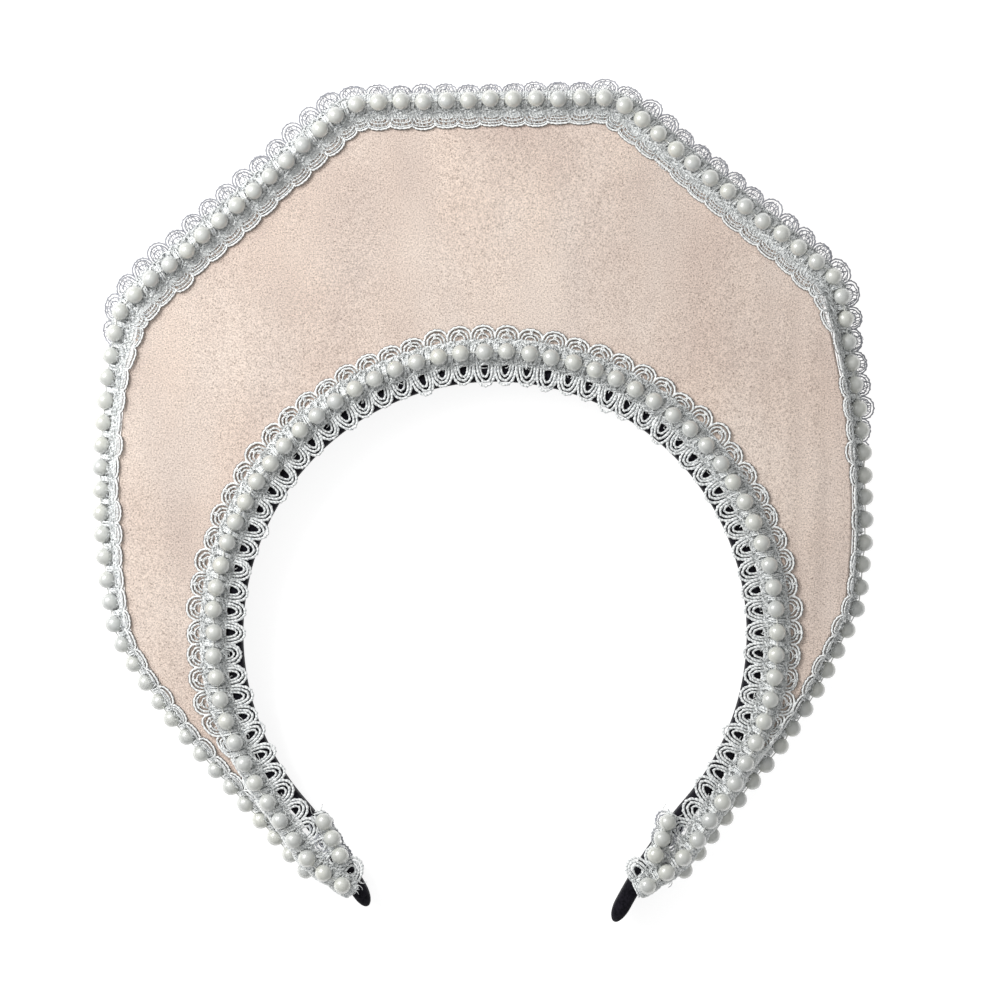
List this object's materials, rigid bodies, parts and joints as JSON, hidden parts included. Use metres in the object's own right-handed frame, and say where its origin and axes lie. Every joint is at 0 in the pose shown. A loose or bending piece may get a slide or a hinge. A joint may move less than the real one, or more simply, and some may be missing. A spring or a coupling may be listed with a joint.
{
  "type": "crown headband",
  "caption": "Halo crown headband: a velvet-covered C-shaped band carrying a flat angular suede panel, edged inside and outside with scalloped braid trim and pearl beads.",
  "frame": {"origin": "bottom centre of the bounding box, with the crown lying on its back on the band's rear edge", "axes": "+Y towards the crown's top, +Z out of its front face, +X to the right seen from the front"},
  "size_m": [0.2002, 0.2154, 0.0209],
  "materials": {
    "velvet": "black velvet with a short dense pile",
    "suede": "pinkish-beige imitation suede with a fine brushed nap",
    "braid": "cool white looped thread braid with a slight lustre",
    "pearl": "glossy off-white imitation pearl"
  },
  "bodies": {
    "root": {"headband": "velvet", "crown_panel": "suede", "outer_braid": "braid", "outer_pearls": "pearl", "inner_braid": "braid", "inner_pearls": "pearl", "left_end_braid": "braid", "left_end_pearls": "pearl", "right_end_braid": "braid", "right_end_pearls": "pearl"}
  },
  "joints": []
}
